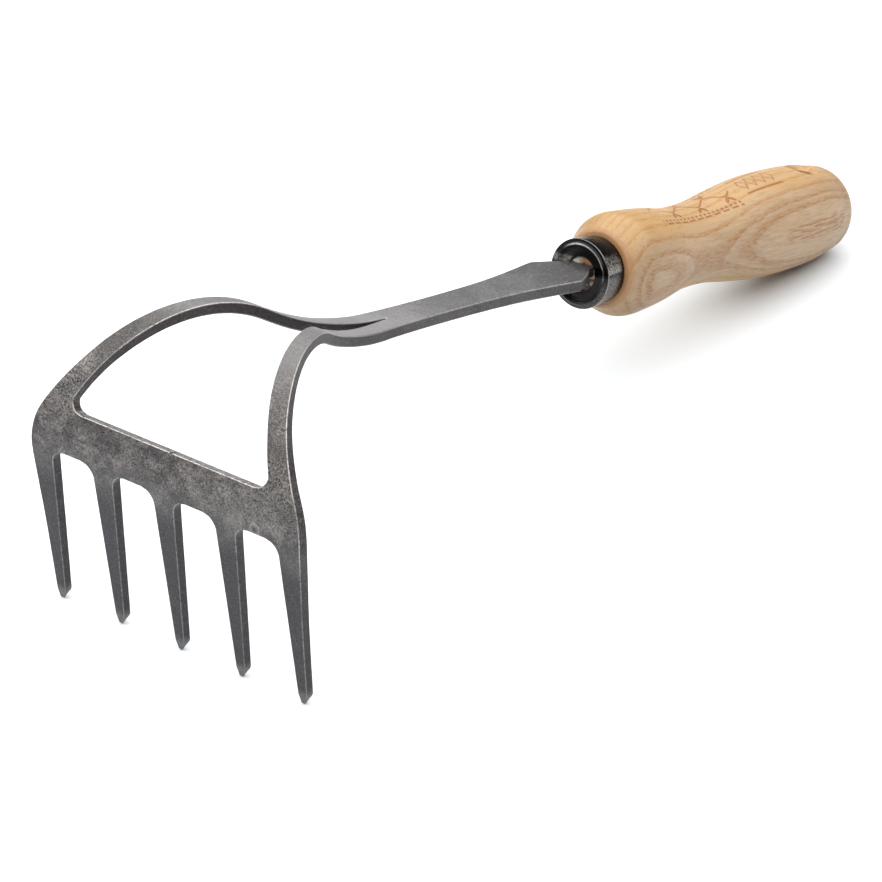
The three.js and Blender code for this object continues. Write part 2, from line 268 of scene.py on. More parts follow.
def crossbar_cells():
    """The crossbar's cells, and the nick's columns that meet a tine."""
    corner = INNER_EDGE[0][1] - BOW_FILLET
    nick = [NICK_X - NICK_SLOPE, NICK_X, NICK_X + NICK_STEP]
    columns = sorted(root_columns()[1:-1] + [-corner, corner] + nick)
    rows = []
    for s in stations(GAP_TOP, BAR_TOP, ROW_STEP):
        outer = value_at(OUTER_EDGE, s)
        rows.append((s, [-outer, *columns, outer]))
    cells = rows_to_cells(rows)
    roots = root_columns()
    gaps = [(roots[2 * i + 1], roots[2 * i + 2]) for i in range(TINE_COUNT - 1)]
    below = [x for x in nick if not any(a < x < b for a, b in gaps)]
    return cells, below


def arm_cells():
    fillet = stations(BAR_TOP, BAR_TOP + BOW_FILLET, BOW_FILLET / FILLET_STEPS)
    arm = stations(BAR_TOP + BOW_FILLET, SLIT_END, ROW_STEP)[1:]
    cells = []
    for side in (-1, 1):
        rows = []
        for s in fillet + arm:
            inner = value_at(INNER_EDGE, s) - fillet_at(BOW_FILLET, s - BAR_TOP)
            rows.append((s, sorted([side * inner, side * value_at(OUTER_EDGE, s)])))
        (s0, low), (s1, high) = rows[:2]
        shared = [x for x in root_columns() if low[0] + GAP < x < low[1] - GAP]
        cells.append([(high[0], s1)] + [(x, s0) for x in [low[0], *shared, low[1]]] + [(high[1], s1)])
        cells += rows_to_cells(rows[1:])
    return cells


def shank_cells():
    slit = value_at(INNER_EDGE, SLIT_END)
    rows = []
    for s in stations(SLIT_END, SHOULDER, ROW_STEP):
        outer = value_at(OUTER_EDGE, s)
        rows.append((s, [-outer, outer]))
    (s0, low), (s1, high) = rows[:2]
    cells = [[(high[0], s1)] + [(x, s0) for x in (low[0], -slit, slit, low[1])] + [(high[1], s1)]]
    cells += rows_to_cells(rows[1:])
    shoulder = SHOULDER_EDGE + [(TANG_START + TANG_LENGTH, TANG_END_WIDTH / 2)]
    return cells + rows_to_cells([(s, [-half, half]) for s, half in shoulder])


def ring_edges(cell):
    """A cell's edges as pairs of corners, rounded so that neighbouring cells name them alike."""
    ring = [(round(x, 4), round(s, 4)) for x, s in cell]
    return list(zip(ring, ring[1:] + ring[:1]))


def round_edges(bm, sheet, wear):
    """Rounds the plate's rims, where a broad face (sheet 1) meets a wall, and marks them as worn."""
    bm.normal_update()
    rims = [e for e in bm.edges if sorted(f[sheet] for f in e.link_faces) == [0, 1]]
    rounds = bmesh.ops.bevel(
        bm, geom=rims, offset=EDGE_ROUND, segments=4, profile=0.5, affect="EDGES", clamp_overlap=False
    )
    round_faces = set(rounds["faces"])
    for vertex in {v for f in round_faces for v in f.verts}:
        vertex[wear] = 1.0 if all(f in round_faces for f in vertex.link_faces) else 0.0
    bmesh.ops.recalc_face_normals(bm, faces=bm.faces)


def build_rake_head(material):
    bar, below = crossbar_cells()
    cells = tine_cells() + bar + arm_cells() + shank_cells()
    for cell in cells:  # the tine under the nick gets the nick's columns along its root
        (right, s), (left, _) = cell[2:4]
        if s == GAP_TOP:
            cell[3:3] = [(x, GAP_TOP) for x in sorted(below, reverse=True) if left < x < right]

    bm = bmesh.new()
    verts = {}
    flat = bm.verts.layers.float_vector.new("flat")
    wear = bm.verts.layers.float.new("wear")
    sheet = bm.faces.layers.int.new("sheet")

    def corner(x, s, depth):
        key = (round(x, 4), round(s, 4), depth)
        if key not in verts:
            drop = NICK_DEPTH if (x, s) == (NICK_X, BAR_TOP) else 0
            verts[key] = bm.verts.new(plate_point(x, s - drop, depth))
            verts[key][flat] = Vector((x, s, depth * PLATE))
        return verts[key]

    edges = {pair for cell in cells for pair in ring_edges(cell)}
    for cell in cells:
        for depth, ring in ((0, cell), (1, cell[::-1])):
            bm.faces.new([corner(x, s, depth) for x, s in ring])[sheet] = 1
        for a, b in ring_edges(cell):
            if (b, a) not in edges:
                bm.faces.new([corner(*a, 0), corner(*a, 1), corner(*b, 1), corner(*b, 0)])
    round_edges(bm, sheet, wear)
    for vertex in bm.verts:  # the faces are not quite flat, nor the edges quite even
        vertex.co += vertex.normal * noise.noise(vertex[flat] * 0.4) * (0.012 + 0.03 * vertex[wear])
    level_normals(make_piece("rake_head_steel", bm, [], "rake_head", material))


# ---- turned pieces ----
def build_turned(profile, segments):
    """A bmesh turned about the grip's Y from (radius, y) points."""
    bm = bmesh.new()
    rings = []
    for r, y in profile:
        if r < 1e-6:
            rings.append([bm.verts.new((0, y, 0))])
            continue
        ring = []
        for k in range(segments):
            a = 2 * math.pi * k / segments
            ring.append(bm.verts.new((r * math.cos(a), y, r * math.sin(a))))
        rings.append(ring)
    for low, high in zip(rings, rings[1:]):
        for k in range(segments):
            j = (k + 1) % segments
            ring = [low[k % len(low)], low[j % len(low)], high[j % len(high)], high[k % len(high)]]
            corners = list(dict.fromkeys(ring))
            if len(corners) > 2:
                bm.faces.new(corners)
    bmesh.ops.recalc_face_normals(bm, faces=bm.faces)
    return bm


def place_on_grip(bm):
    """Moves a bmesh from the grip's frame to the part's and returns the grip coordinates."""
    spots = [vertex.co.copy() for vertex in bm.verts]
    bm.transform(GRIP)
    return spots


def arc(centre_r, centre_y, radius, start, end, count):
    points = []
    for k in range(count + 1):
        a = math.radians(lerp(start, end, k / count))
        points.append((centre_r + radius * math.cos(a), centre_y + radius * math.sin(a)))
    return points


def build_ferrule(material):
    inner = FERRULE_RADIUS - FERRULE_WALL
    wall_back = FACE_RECESS + FERRULE_WALL
    profile = [(inner, FERRULE_LENGTH), (inner, wall_back), (MOUTH_RADIUS, wall_back)]
    profile += arc(MOUTH_RADIUS + MOUTH_ROUND, FACE_RECESS + MOUTH_ROUND, MOUTH_ROUND, 180, 270, 5)
    profile += arc(BEAD_RADIUS, FACE_RECESS, BEAD, 180, 300, 9)
    profile += arc(CREST_RADIUS, CREST, CREST, 215, 335, 14)
    profile += arc(RIM_RADIUS - RIM_ROUND, RIM_STEP + RIM_ROUND, RIM_ROUND, 270, 360, 6)
    for t in (0.25, 0.5, 0.75):
        skirt = lerp(RIM_RADIUS, FERRULE_RADIUS, t)
        profile.append((skirt, lerp(RIM_STEP + RIM_ROUND, FERRULE_LENGTH, t)))
    profile += arc(FERRULE_RADIUS - BACK_ROUND, FERRULE_LENGTH - BACK_ROUND, BACK_ROUND, 0, 90, 4)
    profile.append((inner, FERRULE_LENGTH))
    bm = build_turned(profile, segments=160)
    bmesh.ops.remove_doubles(bm, verts=bm.verts, dist=1e-4)
    for vertex in bm.verts:  # a drawn and hand-fitted cap is never quite round
        p = vertex.co.copy()
        radial = Vector((p.x, 0, p.z)).normalized()
        vertex.co += radial * 0.05 * noise.noise(p * 0.16) + Vector((0, 0.04 * noise.noise(p * 0.3), 0))
    spots = place_on_grip(bm)
    piece = make_piece("ferrule_cap", bm, spots, "ferrule", material)
    piece.data.set_sharp_from_angle(angle=math.radians(50))


def handle_profile():
    tenon = FERRULE_RADIUS - FERRULE_WALL - GAP
    end = GRIP_START + HANDLE_LENGTH
    front = FACE_RECESS + FERRULE_WALL + GAP
    profile = [(r, front) for r in (0, 3, 6, tenon)] + [(tenon, GRIP_START), (FRONT_FLAT, GRIP_START)]
    steps = 7
    for k in range(1, steps + 1):
        a = math.pi / 2 * k / steps
        y = FRONT_ROUND * (1 - math.cos(a))
        profile.append((lerp(FRONT_FLAT, value_at(HANDLE_RADII, y), math.sin(a)), GRIP_START + y))
    grip = stations(FRONT_ROUND, HANDLE_LENGTH - BUTT_ROUND, 1.5)[1:]
    profile += [(value_at(HANDLE_RADII, y), GRIP_START + y) for y in grip]
    butt = HANDLE_RADII[-1][1]
    for degrees in range(6, 90, 6):
        a = math.radians(degrees)
        profile.append((butt * math.cos(a), end - BUTT_ROUND + BUTT_ROUND * math.sin(a)))
    return profile + [(0, end)]


def cut(blank, cutter):
    """The mesh that is left of the blank without the cutter's space. Both objects are used up."""
    modifier = blank.modifiers.new("cut", "BOOLEAN")
    modifier.operation, modifier.solver, modifier.object = "DIFFERENCE", "EXACT", cutter
    graph = bpy.context.evaluated_depsgraph_get()
    result = bpy.data.meshes.new_from_object(blank.evaluated_get(graph))
    for used in (blank, cutter):
        bpy.data.objects.remove(used)
    return result


def plain_object(name, bm):
    mesh = bpy.data.meshes.new(name)
    bm.to_mesh(mesh)
    bm.free()
    made = bpy.data.objects.new(name, mesh)
    bpy.context.scene.collection.objects.link(made)
    return made


def build_handle(material):
    blank = plain_object("blank", build_turned(handle_profile(), segments=192))
    half = [
        (HANG_HOLE_RADIUS, HANG_SURFACE - HANG_SINK_DEPTH), (HANG_SINK_RADIUS, HANG_SURFACE),
        (HANG_SINK_RADIUS + DRILL_FLARE, DRILL_REACH), (0, DRILL_REACH),
    ]
    drill = build_turned([(r, -y) for r, y in reversed(half)] + half, segments=96)
    middle = GRIP_START + HANDLE_LENGTH - HANG_HOLE_INSET
    drill.transform(Matrix.Translation((0, middle, 0)) @ Matrix.Rotation(math.pi / 2, 4, "X"))
    drilled = cut(blank, plain_object("drill", drill))
    bm = bmesh.new()
    bm.from_mesh(drilled)
    bmesh.ops.remove_doubles(bm, verts=bm.verts, dist=1e-4)
    sunk = []  # how far each point of the countersinks lies below the turned surface
    for vertex in bm.verts:
        x, y, z = vertex.co
        surface = value_at(HANDLE_RADII, y - GRIP_START)
        inside = math.hypot(x, y - middle) < HANG_SINK_RADIUS + SINK_MARGIN
        sunk.append(max(surface - math.hypot(x, z), 0) if inside else 0)
    spots = place_on_grip(bm)
    piece = make_piece("handle_grip", bm, spots, "handle", material)
    piece.data.attributes.new("sunk", "FLOAT", "POINT").data.foreach_set("value", sunk)
    piece.data.set_sharp_from_angle(angle=math.radians(30))


def build_bedding(material):
    """Cured resin round the tang, smeared unevenly over the mouth's left side."""
    bm = bmesh.new()
    bmesh.ops.create_grid(bm, x_segments=48, y_segments=48, size=1.0)
    for vertex in bm.verts:
        u, v = vertex.co.x, vertex.co.y
        reach = max(abs(u), abs(v))  # the square grid is drawn into a disc
        a = math.atan2(v, u)
        x, z = SMEAR_RADIUS * reach * math.cos(a), SMEAR_RADIUS * reach * math.sin(a)
        lump = noise.fractal(Vector((x, z, 3.0)) * 0.55, 1.0, 2.0, 4)
        left = min(max((1.2 - x) / 3.0, 0), 1)
        height = max(0.1 + 0.9 * left + 0.7 * lump, -0.4)
        vertex.co = Vector((x, SMEAR_FRONT - height * (1 - 0.5 * reach**4), z))
    spots = place_on_grip(bm)
    make_piece("tang_bedding_resin", bm, spots, "tang_bedding", material)


# ---- materials ----
class Shader:
    """A material and short ways to add nodes to it."""

    def __init__(self, name):
        self.material = bpy.data.materials.new(name)
        self.material.use_nodes = True
        self.tree = self.material.node_tree
        self.surface = next(n for n in self.tree.nodes if n.type == "BSDF_PRINCIPLED")

    def put(self, socket, value):
        if isinstance(value, bpy.types.NodeSocket):
            self.tree.links.new(value, socket)
        else:
            socket.default_value = value

    def add(self, kind, inputs, **settings):
        node = self.tree.nodes.new(kind)
        for name, value in settings.items():
            setattr(node, name, value)
        for name, value in inputs.items():
            self.put(node.inputs[name], value)
        return node

    def attribute(self, name, output):
        return self.add("ShaderNodeAttribute", {}, attribute_name=name).outputs[output]

    def math(self, operation, *values, clamp=False):
        inputs = dict(enumerate(values))
        return self.add("ShaderNodeMath", inputs, operation=operation, use_clamp=clamp).outputs[0]

    def fold(self, operation, values):
        """The values joined one after another by a two-sided operation."""
        result = values[0]
        for value in values[1:]:
            result = self.math(operation, result, value)
        return result

    def both(self, *values):
        """Product of several masks."""
        return self.fold("MULTIPLY", values)

    def plus(self, *values):
        return self.fold("ADD", values)

    def minus(self, *values):
        return self.fold("SUBTRACT", values)

    def most(self, *values):
        """The largest of several masks."""
        return self.fold("MAXIMUM", values)

    def rest(self, mask):
        """What a mask leaves over."""
        return self.minus(1.0, mask)

    def vector(self, operation, *values):
        node = self.add("ShaderNodeVectorMath", dict(enumerate(values)), operation=operation)
        return node.outputs["Value" if operation in ("DOT_PRODUCT", "LENGTH") else "Vector"]

    def parts(self, vector):
        node = self.add("ShaderNodeSeparateXYZ", {0: vector})
        return node.outputs[0], node.outputs[1], node.outputs[2]

    def join(self, x, y, z):
        return self.add("ShaderNodeCombineXYZ", {0: x, 1: y, 2: z}).outputs[0]

    def turn(self, x, z):
        """Degrees round the grip's axis, from its +X side to its upper side."""
        return self.both(self.math("ARCTAN2", z, x), 180 / math.pi)

    def noise(self, vector, scale, detail, rough, distortion=0.0):
        inputs = {
            "Vector": vector, "Scale": scale, "Detail": detail,
            "Roughness": rough, "Distortion": distortion,
        }
        return self.add("ShaderNodeTexNoise", inputs).outputs["Fac"]

    def grain(self, vector, squeeze, scale, detail, rough):
        """Noise drawn out along Y, the more so the smaller squeeze is."""
        return self.noise(self.vector("MULTIPLY", vector, (1.0, squeeze, 1.0)), scale, detail, rough)

    def span(self, value, low, high, to_low=0.0, to_high=1.0):
        """Smoothly maps low..high to to_low..to_high."""
        inputs = {"Value": value, "From Min": low, "From Max": high, "To Min": to_low, "To Max": to_high}
        return self.add("ShaderNodeMapRange", inputs, interpolation_type="SMOOTHSTEP").outputs[0]

    def swing(self, value, low, high):
        """Smoothly maps low..high to -0.5..0.5."""
        return self.minus(self.span(value, low, high), 0.5)

    def near(self, value, middle, half, soft):
        """One where value is within half of middle, falling to nought over soft."""
        away = self.math("ABSOLUTE", self.minus(value, middle))
        return self.span(away, half + soft, half)

    def mix(self, share, a, b):
        node = self.add("ShaderNodeMix", {}, data_type="RGBA")
        sockets = [s for s in node.inputs if s.type == "RGBA"]
        self.put(node.inputs[0], share)
        for socket, value in zip(sockets, (a, b)):
            self.put(socket, value if isinstance(value, bpy.types.NodeSocket) else (*value, 1.0))
        return next(s for s in node.outputs if s.type == "RGBA")

    def scale(self, colour, factor):
        node = self.add("ShaderNodeVectorMath", {0: colour, "Scale": factor}, operation="SCALE")
        return node.outputs["Vector"]

    def bump(self, height, strength, distance, normal=None):
        inputs = {"Height": height, "Strength": strength, "Distance": distance}
        if normal is not None:
            inputs["Normal"] = normal
        return self.add("ShaderNodeBump", inputs).outputs[0]

    def finish(self, **values):
        for name, value in values.items():
            self.put(self.surface.inputs[name.replace("_", " ")], value)
        return self.material


# The head's material is laid out on its flat blank: x across, s from the tips, depth through the plate.
def plate_tones(sh, flat, bar, neck, cloud):
    """Bare colours of the faces: dark tines, browner crossbar with light clouds, grey shank."""
    x, s, _ = sh.parts(flat)
    base = sh.mix(bar, (0.058, 0.055, 0.059), (0.128, 0.117, 0.112))
    base = sh.mix(sh.both(bar, sh.span(s, 66, 54), 0.7), base, (0.105, 0.103, 0.106))
    base = sh.mix(sh.span(s, 76, 100), base, (0.074, 0.07, 0.067))
    base = sh.mix(neck, base, (0.16, 0.157, 0.157))
    base = sh.mix(sh.span(s, 258, 285, 0.0, 0.8), base, (0.095, 0.092, 0.095))
    base = sh.mix(sh.both(bar, sh.span(cloud, 0.44, 0.58), 0.7), base, (0.066, 0.06, 0.062))
    bloom = sh.noise(sh.vector("ADD", flat, (60.0, 20.0, 0.0)), 0.13, 5, 0.7)
    light_patch = sh.both(bar, sh.span(bloom, 0.48, 0.6), sh.span(s, 120, 72, 0.08, 0.7))
    base = sh.mix(light_patch, base, (0.212, 0.193, 0.18))
    right_end = sh.both(sh.near(s, 66, 5, 4), sh.near(x, 30, 9, 8))
    return sh.mix(sh.both(right_end, 0.3), base, (0.215, 0.2, 0.185))


def bow_tones(sh, x, s, on_face, patch, base):
    """The bow: a paler right arm and a pale crest and saddle, all three painted highlights, and dark
    blotches on the right arm.
    """
    # painted highlight on the right arm
    arm_highlight = sh.both(sh.span(s, 80, 96), sh.span(s, 124, 110), sh.span(x, 2, 10), on_face)
    base = sh.mix(sh.both(arm_highlight, 0.36), base, (0.2, 0.192, 0.188))
    dark_arm = sh.both(sh.near(s, 92, 8, 8), sh.span(x, 14, 34), sh.span(patch, 0.47, 0.58, 0.1, 0.8))
    base = sh.mix(dark_arm, base, (0.05, 0.046, 0.043))
    # painted highlight on the bow's crest
    crest_highlight = sh.both(sh.span(s, 104, 130), sh.span(s, 160, 142), on_face)
    crest_highlight = sh.both(crest_highlight, sh.span(patch, 0.6, 0.42, 0.6, 1.0))
    base = sh.mix(sh.both(crest_highlight, 0.78), base, (0.3, 0.288, 0.289))
    # painted highlight on the saddle
    saddle_highlight = sh.both(sh.span(s, 138, 168), sh.span(s, 222, 190), on_face)
    return sh.mix(sh.both(saddle_highlight, 0.75), base, (0.36, 0.345, 0.345))


def wall_tones(sh, x, s, wall, base):
    """Painted shade on the side walls, except the crossbar's upper one, which faces up and gets painted
    light, and bright ground tine tips.
    """
    ledge_light = sh.both(sh.near(s, BAR_TOP, 0.5, 0.4), sh.span(sh.math("ABSOLUTE", x), 41, 38))
    # painted shade on the side walls
    base = sh.mix(sh.both(wall, sh.rest(ledge_light), 0.65), base, (0.042, 0.033, 0.035))
    # painted light on the crossbar's upper wall
    base = sh.mix(sh.both(wall, ledge_light, 0.85), base, (0.25, 0.232, 0.236))
    return sh.mix(sh.span(s, 6.0, 2.0, 0.0, 0.5), base, (0.24, 0.23, 0.22))


def plate_speckle(sh, flat, bar, neck, wall, noises, base):
    """Mottling of three sizes, strongest on the crossbar, and bright specks, most at the arms' roots."""
    cloud, patch, speck, grit = noises
    x, s, _ = sh.parts(flat)
    upper = sh.both(sh.span(s, 56, 67), sh.span(s, 108, 84))
    calm = sh.both(sh.span(s, 100, 120), sh.span(s, 210, 190))
    calm = sh.most(sh.both(wall, sh.span(s, 76, 90)), calm)
    strength = sh.plus(0.45, sh.both(bar, 0.1), sh.both(upper, 0.32), sh.both(neck, 0.12))
    strength = sh.both(strength, sh.rest(sh.both(calm, 0.5)))
    streak = sh.grain(flat, 0.07, 2.2, 3, 0.6)
    factor = sh.plus(
        1.0,
        sh.both(sh.swing(patch, 0.38, 0.62), strength, 0.55),
        sh.both(sh.swing(speck, 0.4, 0.6), strength, 1.15),
        sh.both(sh.swing(grit, 0.38, 0.62), strength),
        sh.both(neck, sh.swing(streak, 0.3, 0.7), 0.12),
        sh.both(neck, sh.swing(cloud, 0.35, 0.65), 0.25),
    )
    base = sh.scale(base, factor)
    base = sh.mix(sh.span(speck, 0.58, 0.64, 0.0, 0.4), base, (0.28, 0.265, 0.26))
    root = sh.most(sh.near(s, 77, 3, 6), sh.both(sh.near(s, 84, 4, 6), sh.span(x, 0, -4)))
    rubbed = sh.both(root, sh.span(sh.math("ABSOLUTE", x), 34, 39), sh.span(speck, 0.48, 0.58))
    return sh.mix(sh.both(rubbed, sh.rest(wall), 0.5), base, (0.4, 0.375, 0.35))


def plate_scratches(sh, x, s, on_face, base):
    """Fine scratches across the faces at a slant, mostly on the shank."""
    across = sh.plus(sh.both(x, 0.93), sh.both(s, 0.36))
    length = sh.minus(sh.both(s, 0.93), sh.both(x, 0.36))
    scratch = sh.noise(sh.join(across, sh.both(length, 0.05), 0.0), 1.7, 2, 0.5)
    scratch = sh.both(sh.span(scratch, 0.63, 0.67), on_face, sh.span(s, 190, 230, 0.12, 0.6))
    return sh.mix(scratch, base, (0.3, 0.285, 0.28))


def pierce_mark(sh, flat, base):
    """The small ring with a dark middle where the cutting started."""
    away = sh.vector("SUBTRACT", flat, (*PIERCE_MARK, 0.0))
    ring = sh.vector("LENGTH", sh.vector("MULTIPLY", away, (1.0, 1.0, 0.3)))
    base = sh.mix(sh.both(sh.near(ring, 1.7, 0.15, 0.3), 0.5), base, (0.3, 0.3, 0.3))
    return sh.mix(sh.span(ring, 0.9, 0.3, 0.0, 0.7), base, (0.03, 0.03, 0.03))


def steel_material():
    """Oil-dark plate, mottled and speckled, paler along the shank, with painted highlights along the bow,
    painted shade on the side walls, and worn edges.
    """
    sh = Shader("head_steel")
    flat = sh.attribute("flat", "Vector")
    wear = sh.attribute("wear", "Fac")
    x, s, depth = sh.parts(flat)
    cloud = sh.noise(flat, 0.1, 4, 0.65)
    patch = sh.noise(flat, 0.55, 6, 0.75, 0.3)
    speck = sh.noise(flat, 1.25, 5, 0.9)
    grit = sh.noise(flat, 2.8, 3, 0.8)
    bar = sh.both(sh.span(s, 44, 64), sh.span(s, 190, 150))
    neck = sh.span(s, 165, 215)
    wall = sh.both(sh.span(depth, 0.2, 0.6), sh.span(depth, PLATE - 0.2, PLATE - 0.6))
    on_face = sh.rest(wall)

    base = plate_tones(sh, flat, bar, neck, cloud)
    # painted highlights on the bow
    base = bow_tones(sh, x, s, on_face, patch, base)
    # painted shade on the side walls, painted light on the crossbar's upper wall
    base = wall_tones(sh, x, s, wall, base)
    base = plate_speckle(sh, flat, bar, neck, wall, (cloud, patch, speck, grit), base)
    base = plate_scratches(sh, x, s, on_face, base)
    base = pierce_mark(sh, flat, base)

    worn = sh.noise(flat, 1.1, 5, 0.75)
    edge = sh.both(sh.span(wear, 0.5, 1.0), sh.span(worn, 0.36, 0.56, 0.1, 1.0))
    edge = sh.both(edge, sh.span(cloud, 0.3, 0.5, 0.45, 1.0), sh.span(depth, 2.6, 1.4, 0.3, 1.0))
    shine = sh.mix(sh.most(bar, sh.both(neck, 0.8)), (0.19, 0.18, 0.18), (0.46, 0.43, 0.41))
    colour = sh.mix(edge, base, shine)
    nick = sh.both(sh.near(x, NICK_X, 0.3, 0.3), sh.near(s, BAR_TOP, 0.3, 0.3))
    colour = sh.mix(sh.both(nick, 0.9), colour, (0.015, 0.014, 0.014))
    height = sh.plus(sh.both(patch, 0.5), sh.both(speck, 0.5))
    normal = sh.bump(height, 0.3, 0.0002)
    normal = sh.bump(grit, 0.2, 0.00004, normal)
    rough = sh.minus(sh.span(patch, 0.3, 0.7, 0.45, 0.6), sh.both(edge, 0.1))
    return sh.finish(Base_Color=colour, Metallic=0.85, Roughness=rough, Normal=normal)


def ferrule_rubbing(sh, y, z, reach, turn, rub):
    """Where the black is rubbed to grey: the flank, less so under it, and low on the rim."""
    skirt = sh.both(sh.span(y, 0.7, 1.1), sh.span(reach, 10.9, 11.15))
    flank = sh.both(skirt, sh.span(turn, 8, 18), sh.span(turn, 50, 34))
    flank = sh.both(flank, sh.span(rub, 0.3, 0.44), sh.span(y, 10.2, 8.0))
    under = sh.both(skirt, sh.span(turn, 12, 4), sh.span(turn, -60, -30), sh.span(y, 9.5, 6.0), 0.32)
    scuff = sh.both(sh.span(y, 1.0, 0.7), sh.span(reach, 9.8, 10.6), sh.span(z, 2.0, -4.0), 0.16)
    wander = sh.plus(turn, sh.both(sh.minus(rub, 0.5), 22))
    seam = sh.both(skirt, sh.near(wander, 13, 0.5, 1.6))
    return sh.most(flank, under, scuff), seam


def ferrule_highlights(sh, y, reach, turn):
    """Painted highlights on the crest's upper side, and a fainter one on the rim's lip."""
    crest_highlight = sh.both(sh.near(reach, CREST_RADIUS, 0.12, 0.3), sh.span(y, 0.6, 0.3))
    crest_highlight = sh.both(crest_highlight, sh.span(turn, -5, 40), sh.span(turn, 140, 90))
    lip_highlight = sh.both(sh.near(y, RIM_STEP + RIM_ROUND, 0.12, 0.2), sh.span(reach, 11.7, 11.9))
    return sh.most(crest_highlight, sh.both(lip_highlight, 0.2))


def ferrule_material():
    """Blackened, polished steel, rubbed grey on the flank, with painted highlights on the crest and the
    rim's lip, a faint rolled seam and a resin smear.
    """
    sh = Shader("ferrule_black")
    spot = sh.attribute("spot", "Vector")
    x, y, z = sh.parts(spot)
    turn = sh.turn(x, z)
    reach = sh.vector("LENGTH", sh.join(x, z, 0.0))
    rub = sh.noise(spot, 0.3, 5, 0.7)
    fine = sh.noise(spot, 1.5, 5, 0.8)

    share, seam = ferrule_rubbing(sh, y, z, reach, turn, rub)
    share = sh.both(share, sh.span(fine, 0.42, 0.58, 0.25, 1.0))
    colour = sh.mix(share, (0.018, 0.017, 0.017), (0.42, 0.41, 0.39))
    # painted highlights on the crest and the rim's lip
    painted_highlight = sh.both(ferrule_highlights(sh, y, reach, turn), sh.span(fine, 0.3, 0.5, 0.5, 1.0))
    colour = sh.mix(painted_highlight, colour, (0.85, 0.83, 0.8))
    colour = sh.mix(sh.both(seam, 0.8), colour, (0.02, 0.02, 0.02))
    smear = sh.both(sh.span(y, 2.2, 1.6), sh.span(x, -2.5, -5.0), sh.near(z, 3.4, 0.7, 1.2))
    smear = sh.both(smear, sh.span(sh.noise(spot, 0.9, 5, 0.7), 0.38, 0.56), 0.8)
    colour = sh.mix(smear, colour, (0.17, 0.16, 0.145))

    rough = sh.plus(sh.span(fine, 0.3, 0.7, 0.16, 0.3), sh.both(share, 0.22), sh.both(smear, 0.4))
    height = sh.minus(sh.plus(rub, sh.both(fine, 0.2)), sh.both(seam, 0.5))
    normal = sh.bump(height, 0.3, 0.0003)
    metal = sh.rest(sh.both(smear, 0.9))
    return sh.finish(Base_Color=colour, Metallic=metal, Roughness=rough, Normal=normal)


def leafy_stem(sh, y, v):
    """A waving stem with two pairs of leaves a period; y runs along it and v across it, in mm."""
    w = sh.math("MODULO", sh.minus(y, STEM_START), STEM_PERIOD)
    sine = sh.math("SINE", sh.both(w, 2 * math.pi / STEM_PERIOD))
    stem = sh.near(sh.minus(v, sh.both(sine, STEM_WAVE)), 0, 0.3, 0.3)
    for place, side in ((0.25, 1), (0.75, -1)):
        for lean in (LEAF_LEAN, -LEAF_LEAN):
            dx = sh.minus(w, place * STEM_PERIOD + LEAF_SPREAD * lean)
            dv = sh.minus(v, side * LEAF_PLACE)
            c, n = math.cos(side * lean), math.sin(side * lean)
            p = sh.plus(sh.both(dx, c / LEAF_HALF), sh.both(dv, -n / LEAF_HALF))
            q = sh.plus(sh.both(dx, n / LEAF_LENGTH), sh.both(dv, c / LEAF_LENGTH))
            leaf = sh.span(sh.vector("LENGTH", sh.join(p, q, 0.0)), 1.1, 0.9)
            stem = sh.most(stem, leaf)
    return stem


def marks_along(sh, y, step, half):
    """Short marks along y, one every step."""
    return sh.near(sh.math("MODULO", sh.minus(y, 20), step), step / 2, half, 0.3)


def lozenges(sh, y, tall):
    """A row of lozenges between two rules; tall is the distance from its middle line."""
    half = LOZENGE_LENGTH / 2
    start = sh.minus(y, LOZENGE_START)
    cell = sh.math("ABSOLUTE", sh.minus(sh.math("MODULO", start, LOZENGE_LENGTH), half))
    slant = sh.plus(sh.both(cell, 1 / half), sh.both(tall, 1 / LOZENGE_HALF))
    return sh.most(sh.near(slant, 0.84, 0.08, 0.1), sh.near(tall, 4.8, 0.3, 0.25))


def burnt_ornament(sh, x, y, z):
    """Thin burnt lines on the upper side: a leafy stem between dotted and dashed lines, then lozenges."""
    across = sh.both(sh.minus(sh.turn(x, z), ORNAMENT_TURN), DEGREE_LENGTH)
    tall = sh.math("ABSOLUTE", across)
    dots = sh.both(marks_along(sh, y, 2.4, 0.5), sh.near(tall, 6.6, 0.35, 0.3))
    dashes = sh.both(marks_along(sh, y, 4.8, 1.5), sh.near(tall, 8.0, 0.25, 0.25))
    vine = sh.both(sh.most(leafy_stem(sh, y, across), dots, dashes), sh.near(y, 47, 23.2, 0.3))
    row = sh.both(lozenges(sh, y, tall), sh.near(y, 86, 10.0, 0.3))
    uneven = sh.noise(sh.join(x, y, z), 1.2, 4, 0.7)
    return sh.both(sh.most(vine, row), sh.span(z, 3, 5), sh.span(uneven, 0.3, 0.5, 0.5, 1.0))


def ring_level(sh, spot, x, y, z, ripple):
    """Level in mm across the growth rings, which tilt, sway and climb along the handle."""
    sway = sh.grain(spot, 0.35, 0.045, 2, 0.5)
    tilt = sh.span(y, 40, 80, -0.1, 0.03)
    rise = sh.add("ShaderNodeFloatCurve", {"Value": sh.math("DIVIDE", y, RISE_LENGTH)})
    curve = rise.mapping.curves[0]
    while len(curve.points) < len(RING_RISE):
        curve.points.new(0.5, 0.5)
    for point, place in zip(curve.points, RING_RISE):
        point.location = place
    rise.mapping.update()
    lift = sh.both(sh.minus(rise.outputs[0], 0.12), RISE_HEIGHT)
    wide, small = sh.both(sh.minus(sway, 0.5), 1.6), sh.both(sh.minus(ripple, 0.5), 0.8)
    return sh.plus(x, sh.both(z, tilt), lift, wide, small)


def early_wood(sh, level):
    """The coarse, porous start of each year's ring: a sharp outer side and a slow fade."""
    bands = [
        sh.both(sh.span(level, ring + 0.12, ring - 0.1), sh.span(level, ring - 1.5, ring - 0.25))
        for ring in RINGS
    ]
    return sh.plus(*bands)


